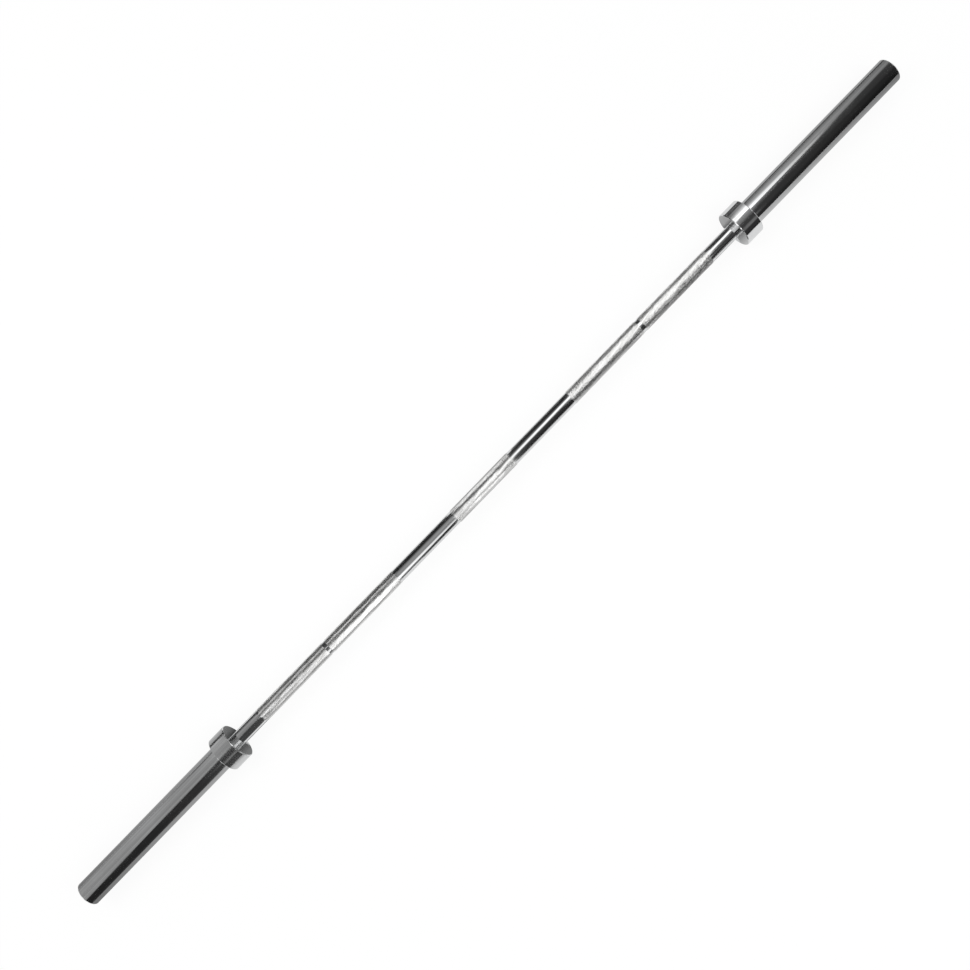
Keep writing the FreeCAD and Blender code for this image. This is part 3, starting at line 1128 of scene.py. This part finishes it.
# A hung card is curved round the bar: its distance, its brightness at its first and last edge, and its
# stations, which are (place on the bar that shows it, first angle, last angle, share of the brightness).
# Angles are in degrees from the camera, negative to the back.
HUNG_CARDS = {
    "back_wall": (
        WALL, 0.38, 0.38,
        [(-1.4, -90, 32, 1), (-1.06, -90, 21, 1), (-0.95, -90, 12, 1), (-0.85, -90, 7, 1),
         (-0.75, -90, 4, 0.9), (-0.7, -90, -3, 1.1), (-0.66, -90, -8, 1.1), (-0.64, -90, -18, 0.9),
         (-0.58, -90, -18, 1), (-0.5, -90, 0, 1), (0.0, -90, 0, 1), (0.699, -90, -14, 1),
         (0.7, -90, -24, 1), (0.88, -90, -46, 0.95), (1.05, -90, -50, 0.7), (1.4, -90, -52, 0.7)],
    ),
    "front_fade": (
        WALL, 0.38, 0.06,
        [(-1.4, 32, 37, 1), (-1.06, 21, 26, 1), (-0.95, 12, 17, 1), (-0.85, 7, 12, 1),
         (-0.75, 4, 11, 0.9), (-0.7, -3, 6, 1.1), (-0.66, -8, 4, 1.1), (-0.64, -18, 0, 0.9),
         (-0.58, -18, 0, 1), (-0.5, 0, 14, 1), (0.0, 0, 22, 1), (0.699, -14, 10, 1),
         (0.7, -24, 0, 1), (0.88, -46, -30, 0.95), (1.05, -50, -44, 0.7), (1.4, -52, -46, 0.7)],
    ),
    "left_front_wall": (
        WALL, 0.022, 0.034,
        [(-1.4, 37, 84, 0.7), (-1.06, 26, 84, 0.8), (-0.95, 17, 84, 0.9), (-0.85, 12, 84, 1.1),
         (-0.75, 11, 84, 1.5), (-0.7, 6, 86, 2.4), (-0.66, 4, 86, 2.6), (-0.64, 0, 86, 2.6),
         (-0.58, 0, 86, 2.6), (-0.5, 14, 84, 1), (0.0, 22, 82, 1)],
    ),
    "right_front_wall": (
        WALL, 0.05, 0.015,
        [(0.0, 22, 82, 2), (0.08, 20, 82, 1.4), (0.22, 18, 82, 1), (0.6, 12, 80, 1.6),
         (0.699, 10, 80, 1.4), (0.7, 10, 83, 1.2), (0.76, 10, 83, 1), (0.9, 10, 83, 0.7),
         (1.05, 10, 83, 0.5), (1.4, 10, 83, 0.5)],
    ),
    "right_sleeve_fade": (
        WALL, 0.06, 0.03,
        [(0.7, 0, 10, 1.4), (0.76, -8, 10, 1.3), (0.88, -30, 10, 1.2), (1.05, -44, 10, 1.1)],
    ),
    "right_end_fade": (WALL, 0.07, 0.03, [(1.05, -44, 10, 1.1), (1.4, -46, 10, 1.4)]),
    "left_skirting": (
        SCREEN, 0.14, 0.14,
        [(-1.4, -99, -90, 2.3), (-1.05, -99, -90, 2.3), (-0.88, -99, -90, 2.7), (-0.8, -99, -90, 2.2),
         (-0.74, -99, -86, 1), (-0.7, -99, -90, 0.4), (-0.655, -99, -90, 0.4)],
    ),
    "right_skirting": (
        SCREEN, 0.1, 0.1,
        [(0.655, -99, -80, 1), (0.699, -99, -80, 1.2), (0.7, -99, -84, 2.2), (1.4, -99, -86, 1.6)],
    ),
    "middle_gap": (
        SCREEN, 0.02, 0.02,
        [(-0.66, -98, -80, 5), (-0.5925, -98, -76, 4), (-0.5915, -98, -56, 1), (0.5915, -98, -58, 2),
         (0.66, -98, -66, 3)],
    ),
    "middle_fade": (
        SCREEN, 0.02, 0.38,
        [(-0.5915, -56, -26, 1), (0.5915, -58, -36, 1), (0.66, -66, -50, 1)],
    ),
    "left_knurl_light": (
        SOFTBOX, 1.5, 1.5,
        [(-0.5915, -58, -44, 0.75), (-0.431, -58, -44, 0.75), (-0.43, -98, -36, 0.02),
         (-0.4, -98, -36, 0.02), (-0.399, -56, -42, 1), (-0.2315, -54, -40, 0.9)],
    ),
    "left_knurl_dark": (
        SOFTBOX, 0.03, 0.03,
        [(-0.5915, -38, -12, 1), (-0.431, -38, -8, 1), (-0.43, -32, -24, 1), (-0.4, -32, -24, 1),
         (-0.399, -36, -2, 1), (-0.2315, -36, 4, 1)],
    ),
    "left_glow": (
        SCREEN, 0.38, 0.5,
        [(-0.5915, 2, 70, 0.45), (-0.431, 2, 68, 0.9), (-0.43, -12, 74, 0.35), (-0.4, -12, 74, 0.35),
         (-0.399, 2, 68, 1), (-0.2315, 2, 66, 1), (-0.2305, 2, 70, 1), (-0.2, 2, 70, 1),
         (-0.0755, 2, 48, 0.7)],
    ),
    "left_softbox": (
        SOFTBOX, 1.1, 2.0,
        [(-0.5915, -9, 14, 1.2), (-0.431, -6, 44, 0.65), (-0.43, 36, 66, 0.9), (-0.4, 36, 66, 0.9),
         (-0.399, 8, 78, 1.1), (-0.2315, 12, 78, 1.2), (-0.2305, 18, 52, 1), (-0.0755, 24, 46, 0.6)],
    ),
    "left_ring_line": (SOFTBOX, 1.0, 1.0, [(-0.43, -22, -12, 1), (-0.4, -22, -12, 1)]),
    "left_outer_softbox": (SOFTBOX, 1.2, 1.2, [(-0.5915, 56, 80, 1), (-0.431, 48, 80, 1)]),
    "centre_back": (SOFTBOX, 1.2, 1.2, [(-0.07, -98, -60, 1), (0.07, -98, -60, 1)]),
    "centre_dark": (SOFTBOX, 0.03, 0.03, [(-0.0745, -58, -24, 1), (0.0745, -58, -24, 1)]),
    "centre_glow": (SCREEN, 0.6, 0.6, [(-0.0745, -30, 58, 1), (0.0745, -30, 58, 1)]),
    "centre_softbox": (SOFTBOX, 1.7, 1.7, [(-0.0745, 54, 81, 1), (0.0745, 54, 81, 1)]),
    "right_softbox": (
        SOFTBOX, 1.7, 1.7,
        [(-0.0745, -18, 27, 0.9), (0.0745, -18, 27, 0.9), (0.0755, -25, 4, 0.9), (0.2305, -33, -3, 0.9),
         (0.2315, -61, 31, 0.78), (0.399, -64, 23, 0.8), (0.4, -50, -8, 1), (0.43, -50, -8, 1),
         (0.431, -62, 16, 0.84), (0.5915, -66, 6, 0.88), (0.595, -48, -18, 1), (0.65, -46, -20, 1),
         (0.66, -44, -23, 1), (0.7, -44, -24, 1), (0.88, -36, -29, 0.4)],
    ),
    "right_knurl_back": (
        SOFTBOX, 0.22, 0.22,
        [(0.2315, -98, -64, 1), (0.399, -98, -66, 1), (0.4, -98, -50, 0.15), (0.43, -98, -50, 0.15),
         (0.431, -98, -64, 1), (0.5915, -98, -66, 1.2)],
    ),
    "right_glow": (SCREEN, 1.1, 1.1, [(0.431, 34, 56, 0.4), (0.46, 34, 50, 1), (0.5915, 26, 42, 1)]),
    "right_halo": (SCREEN, 0.42, 1.3, [(0.5925, -60, -46, 1), (0.7, -66, -44, 1), (0.88, -48, -34, 0.7)]),
    "left_collar_light": (SOFTBOX, 0.62, 0.42, [(-0.7, -90, -58, 1), (-0.655, -90, -58, 1)]),
    "left_collar_streak": (SOFTBOX, 0.1, 0.3, [(-0.7, 29, 43, 0.8), (-0.655, 29, 43, 1.7)]),
    "right_collar_streak": (SOFTBOX, 0.18, 0.18, [(0.655, 30, 48, 1), (0.705, 30, 48, 1)]),
}
# A laid card lies on the floor: the places on the bar that show its two ends, and its stations across the
# bar, which are (place across, brightness) or (place across, brightness at each end). The laid cards paint
# the floor's light and shade as the metal mirrors it, with painted shadow of the bar beside the sleeves and
# under the collars' faces.
LAID_CARDS = {
    # The grey strips beside the left sleeve paint the floor's shade in the bar's shadow, as the metal mirrors
    # it.
    "left_floor_back": ((-1.1, -0.7), [(0.02, 0.24, 0.46), (1.2, 0.24, 0.46)]),
    "left_floor_front": ((-1.1, -0.7), [(-0.42, 0.2, 0.5), (-0.02, 0.2, 0.5)]),
    "left_floor_dark": ((-1.1, -0.7), [(-1.2, 0.03, 0.05), (-0.42, 0.03, 0.05)]),
    "left_collar_back": ((-0.7, -0.652), [(0.02, 0.6), (0.3, 0.6), (0.4, 0.05), (1.2, 0.05)]),
    "left_collar_front": ((-0.7, -0.652), [(-1.2, 0.72), (-0.02, 0.76)]),
    # Painted shadow of the shaft on the floor, darkest beside the shaft, as the collar's face mirrors it.
    "left_face_painted_shadow": (
        (-0.651, -0.593),
        [(-0.045, 0.25), (-0.024, 0.22), (-0.008, 0.07), (0.018, 0.02), (0.03, 0.17), (0.045, 0.25)],
    ),
    "left_neck_floor": ((-0.652, -0.593), [(-1.2, 0.06), (-0.3, 0.06), (-0.2, 0.5)]),
    "left_knurl_floor": ((-0.592, -0.231), [(-1.2, 0.4, 0.5), (-0.1, 0.4, 0.5), (-0.04, 0.8, 0.9)]),
    "left_gap_floor": ((-0.17, -0.08), [(-1.2, 0.3, 0.1), (-0.3, 0.3, 0.1), (-0.2, 0.5)]),
    "centre_floor_back": ((-0.0745, 0.0745), [(0.015, 0.5), (0.25, 0.6)]),
    "centre_floor_front": ((-0.0745, 0.0745), [(-0.25, 0.68), (-0.015, 0.62)]),
    "right_gap_floor": ((0.08, 0.229), [(-1.2, 0.06), (-0.3, 0.06), (-0.2, 0.5)]),
    "right_inner_floor": ((0.231, 0.403), [(-1.2, 0.42, 0.3), (-0.1, 0.42, 0.3), (-0.04, 0.8, 0.7)]),
    "right_outer_floor": ((0.427, 0.592), [(-1.2, 0.2, 0.05), (-0.1, 0.2, 0.05), (-0.04, 0.6, 0.5)]),
    "right_neck_floor": ((0.593, 0.652), [(-1.2, 0.05), (-0.3, 0.05), (-0.2, 0.5)]),
    "left_floor_middle": ((-0.652, -0.085), [(0.12, 0.03), (1.2, 0.03)]),
    "right_floor_middle": ((0.085, 0.652), [(0.12, 0.03), (1.2, 0.03)]),
    # Painted shadow of the shaft on the floor, darkest beside the shaft, as the collar's face mirrors it.
    "right_face_painted_shadow": (
        (0.593, 0.651),
        [(-0.045, 0.7), (-0.032, 0.68), (-0.02, 0.46), (-0.008, 0.2), (0.018, 0.08), (0.027, 0.5),
         (0.045, 0.62)],
    ),
    "right_collar_back": ((0.652, 0.7), [(0.02, 1.0), (0.2, 1.0), (0.26, 0.06), (1.2, 0.06)]),
    # The grey strips beside the right sleeve paint the floor's shade in the bar's shadow, as the metal
    # mirrors it.
    "right_floor_back": (
        (0.7, 1.1),
        [(0.02, 0.58, 0.5), (0.14, 0.58, 0.5), (0.19, 0.1, 0.04), (1.2, 0.1, 0.04)],
    ),
    "right_floor_front": ((0.7, 1.1), [(-1.2, 0.68, 0.26), (-0.02, 0.68, 0.26)]),
}
# An end card closes the studio beyond one end of the bar: its place along the bar, and its stations round
# the bar, which are (angle from the camera, brightness).
END_CARDS = {
    "left_end_wall": (
        -END_WALL,
        [(-98, 0.5), (-50, 0.3), (-42, 2.4), (-2, 2.4), (6, 0.2), (34, 0.1), (40, 2.4), (64, 2.4),
         (70, 0.1), (82, 0.1)],
    ),
    "right_end_wall": (
        END_WALL,
        [(-98, 0.5), (-60, 0.3), (-48, 2.4), (-2, 2.4), (6, 0.2), (38, 0.1), (44, 2.4), (66, 2.4),
         (72, 0.1), (82, 0.1)],
    ),
}
# A card is slightly uneven in streaks. Their scales are along and round the bar, and the shares of its
# brightness go from the least to the most.
UNEVEN_SCALES = (0.5, 5.0)
UNEVEN_LEVELS = (0.25, 0.75)
UNEVEN_SHARES = (0.7, 1.3)


def card_material():
    """A card's surface: it glows as its attribute says, slightly uneven in long streaks."""
    name = "Studio card"
    if name in bpy.data.materials:
        return bpy.data.materials[name]
    material, tree, shader = new_material(name)
    tree.nodes.remove(shader)
    _, along, across, up, _ = bar_place(tree)
    cloud = speckle(tree, stretch(tree, along, across, up, *UNEVEN_SCALES), detail=3.0)
    streaks = remap(tree, cloud, *UNEVEN_LEVELS, *UNEVEN_SHARES)
    glow = add_node(tree, "ShaderNodeAttribute", attribute_name="glow").outputs["Fac"]
    light = add_node(tree, "ShaderNodeEmission")
    feed(tree, light.inputs["Strength"], times(tree, glow, streaks))
    feed(tree, tree.nodes["Material Output"].inputs["Surface"], light.outputs[0])
    return material


def add_card(name, vertices, faces, glows):
    """A card with a brightness at each corner, which only reflections show."""
    mesh = bpy.data.meshes.new(name)
    mesh.from_pydata(vertices, [], faces)
    mesh.attributes.new("glow", "FLOAT", "POINT").data.foreach_set("value", glows)
    mesh.materials.append(card_material())
    card = link_piece(name, mesh)
    card.visible_camera = False
    card.visible_diffuse = False
    card.visible_transmission = False
    card.visible_shadow = False


def mirrored_along(place, reach, stage):
    """Where along the bar a card hangs at a reach from the axis, to show at a place on the bar."""
    camera_along = stage.aim + stage.distance * math.sin(stage.lean)
    return place + (place - camera_along) * reach / stage.distance


def round_bar(angle, radius, stage):
    """Across and up of a point at an angle from the camera, in degrees, and a distance from the axis."""
    tilt = math.pi / 2 - stage.elevation
    turn = math.radians(angle) + tilt
    return -radius * math.sin(turn), radius * math.cos(turn)


def hang_card(name, radius, first_glow, last_glow, stations, stage):
    """A card curved round the bar."""
    vertices = []
    glows = []
    for place, first, last, station_share in stations:
        along = mirrored_along(place, radius, stage)
        for column in range(CARD_COLUMNS + 1):
            share = column / CARD_COLUMNS
            vertices.append((along, *round_bar(first + (last - first) * share, radius, stage)))
            glows.append(station_share * (first_glow + (last_glow - first_glow) * share))
    width = CARD_COLUMNS + 1
    gaps = range(len(stations) - 1)
    starts = [gap * width + column for gap in gaps for column in range(CARD_COLUMNS)]
    faces = [(start, start + width, start + width + 1, start + 1) for start in starts]
    add_card(name, vertices, faces, glows)


def lay_card(name, places, stations, stage):
    """A flat card on the floor, which paints the floor's light and shade where the metal mirrors it."""
    height = CARD_LIFT - COLLAR_RADIUS
    vertices = []
    glows = []
    for across, *brightness in stations:
        vertices += [(mirrored_along(place, abs(across), stage), across, height) for place in places]
        glows += [brightness[0], brightness[-1]]
    starts = range(0, len(vertices) - 2, 2)
    faces = [(start, start + 1, start + 3, start + 2) for start in starts]
    add_card(name, vertices, faces, glows)


def end_card(name, along, stations, stage):
    """An upright fan that closes one end of the studio."""
    foot = (along, 0, -COLLAR_RADIUS)
    vertices = [foot] + [(along, *round_bar(angle, WALL, stage)) for angle, _ in stations]
    glows = [stations[0][1]] + [glow for _, glow in stations]
    faces = [(0, corner, corner + 1) for corner in range(1, len(stations))]
    add_card(name, vertices, faces, glows)


# The floor, the light and the camera
FLOOR_SIZE = 40.0
FLOOR_ROUGHNESS = 0.9
FADE_START = 1.2
FADE_END = 3.0
CAMERA_WHITE = 0.9
MIRROR_WHITE = 0.55
LAMP_SIZE = 1.6
LAMP_HEIGHT = 2.4
LAMP_PLACES = {"key_lamp": (0.9, -1.5), "fill_lamp": (-1.1, 1.3)}
SENSOR_WIDTH = 36
CAMERA_REACH = 100


def seen_in_mirror(tree, path):
    """1 for rays that come from metal or glass."""
    return larger(tree, path.outputs["Is Glossy Ray"], path.outputs["Is Transmission Ray"])


def floor_material(stage):
    """A pale floor that keeps its shadow and fades to white for the camera and the metal."""
    material, tree, shader = new_material("Floor")
    shader.inputs["Base Color"].default_value = (*stage.floor_colour, 1)
    shader.inputs["Roughness"].default_value = FLOOR_ROUGHNESS
    shader.inputs["Specular IOR Level"].default_value = 0.0
    path = add_node(tree, "ShaderNodeLightPath")
    from_middle = add_node(tree, "ShaderNodeVectorMath", operation="LENGTH")
    feed(tree, from_middle.inputs[0], add_node(tree, "ShaderNodeTexCoord").outputs["Object"])
    fade = remap(tree, from_middle.outputs["Value"], FADE_START, FADE_END, CAMERA_WHITE, 1.0)
    seen = times(tree, path.outputs["Is Camera Ray"], fade)
    mirrored = times(tree, seen_in_mirror(tree, path), MIRROR_WHITE)
    white = add_node(tree, "ShaderNodeEmission")
    mix = add_node(tree, "ShaderNodeMixShader")
    whitened = feed_all(tree, mix, (larger(tree, seen, mirrored), shader.outputs[0], white.outputs[0]))
    feed(tree, tree.nodes["Material Output"].inputs["Surface"], whitened)
    return material


def add_floor(stage):
    """The floor that the collars stand on."""
    half = FLOOR_SIZE / 2
    ground = -COLLAR_RADIUS
    corners = [(-half, -half, ground), (half, -half, ground), (half, half, ground), (-half, half, ground)]
    mesh = bpy.data.meshes.new("floor")
    mesh.from_pydata(corners, [], [(0, 1, 2, 3)])
    mesh.materials.append(floor_material(stage))
    link_piece("floor", mesh)


def set_world(scene, stage):
    """Even light from all round, which the camera and the metal see as white."""
    world = bpy.data.worlds.new("Studio")
    scene.world = world
    world.use_nodes = True
    tree = world.node_tree
    path = add_node(tree, "ShaderNodeLightPath")
    seen = larger(tree, path.outputs["Is Camera Ray"], seen_in_mirror(tree, path))
    background = tree.nodes["Background"]
    background.inputs["Color"].default_value = (1, 1, 1, 1)
    feed(tree, background.inputs["Strength"], between(tree, seen, stage.sky, 1.0))


def add_lamps(scene, stage):
    """Two soft lamps overhead, aimed at the bar."""
    for name, (along, across) in LAMP_PLACES.items():
        data = bpy.data.lights.new(name, "AREA")
        data.size = LAMP_SIZE
        data.energy = stage.lamp_power
        lamp = bpy.data.objects.new(name, data)
        lamp.location = (along, across, LAMP_HEIGHT)
        lamp.rotation_euler = (-Vector(lamp.location)).to_track_quat("-Z", "Y").to_euler()
        lamp.visible_glossy = False
        scene.collection.objects.link(lamp)


def add_camera(scene, stage):
    """The camera, nearly straight above the bar and rolled so that the bar crosses the picture."""
    flat = math.cos(stage.lean)
    back = Vector((math.sin(stage.lean), -flat * math.cos(stage.elevation), flat * math.sin(stage.elevation)))
    bar = Vector((1, 0, 0))
    bar = (bar - bar.dot(back) * back).normalized()
    beside = back.cross(bar)
    right = math.cos(stage.slope) * bar - math.sin(stage.slope) * beside
    up = math.sin(stage.slope) * bar + math.cos(stage.slope) * beside
    data = bpy.data.cameras.new("camera")
    data.lens = stage.lens
    data.sensor_width = SENSOR_WIDTH
    data.clip_end = CAMERA_REACH
    camera = bpy.data.objects.new("camera", data)
    place = Vector((stage.aim, stage.aim_across, 0)) + stage.distance * back
    turn = Matrix((right, up, back)).transposed().to_4x4()
    camera.matrix_world = Matrix.Translation(place) @ turn
    scene.collection.objects.link(camera)
    scene.camera = camera


class BARBELL_OT_stage(bpy.types.Operator):
    """Sets up the floor, the light, the cards that the chrome mirrors and the camera"""

    bl_idname = "barbell.stage"
    bl_label = "Stage"

    def execute(self, context):
        scene = context.scene
        stage = scene.barbell_stage
        scene.view_settings.view_transform = "Standard"
        add_floor(stage)
        for name, card in HUNG_CARDS.items():
            hang_card(name, *card, stage)
        for name, card in LAID_CARDS.items():
            lay_card(name, *card, stage)
        for name, card in END_CARDS.items():
            end_card(name, *card, stage)
        set_world(scene, stage)
        add_lamps(scene, stage)
        add_camera(scene, stage)
        return {"FINISHED"}


# The add-on
class BARBELL_PT_panel(bpy.types.Panel):
    """Lists the barbell's pieces, its stage and their settings"""

    bl_idname = "BARBELL_PT_panel"
    bl_label = "Olympic Barbell"
    bl_space_type = "VIEW_3D"
    bl_region_type = "UI"
    bl_category = "Barbell"

    def draw(self, context):
        for operator in OPERATORS:
            self.layout.operator(operator.bl_idname)
        for name in SETTINGS:
            settings = getattr(context.scene, name)
            column = self.layout.column(align=True)
            for label in settings.bl_rna.properties.keys():
                if label not in ("rna_type", "name"):
                    column.prop(settings, label)


OPERATORS = [
    BARBELL_OT_shaft,
    BARBELL_OT_collars,
    BARBELL_OT_sleeves,
    BARBELL_OT_end_caps,
    BARBELL_OT_bearings,
    BARBELL_OT_retainers,
    BARBELL_OT_seals,
    BARBELL_OT_stage,
]
SETTINGS = {
    "barbell_shaft": ShaftSettings,
    "barbell_ends": EndSettings,
    "barbell_finish": FinishSettings,
    "barbell_stage": StageSettings,
}


def register():
    """Adds the settings, the operators and the panel."""
    for name, group in SETTINGS.items():
        bpy.utils.register_class(group)
        setattr(bpy.types.Scene, name, PointerProperty(type=group))
    for operator in OPERATORS:
        bpy.utils.register_class(operator)
    bpy.utils.register_class(BARBELL_PT_panel)


def unregister():
    """Takes them away again."""
    bpy.utils.unregister_class(BARBELL_PT_panel)
    for operator in reversed(OPERATORS):
        bpy.utils.unregister_class(operator)
    for name, group in reversed(SETTINGS.items()):
        delattr(bpy.types.Scene, name)
        bpy.utils.unregister_class(group)


def main():
    """Registers the add-on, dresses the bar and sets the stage."""
    register()
    bpy.ops.barbell.shaft()
    bpy.ops.barbell.collars()
    bpy.ops.barbell.sleeves()
    bpy.ops.barbell.end_caps()
    bpy.ops.barbell.bearings()
    bpy.ops.barbell.retainers()
    bpy.ops.barbell.seals()
    bpy.ops.barbell.stage()


if __name__ == "__main__":
    main()
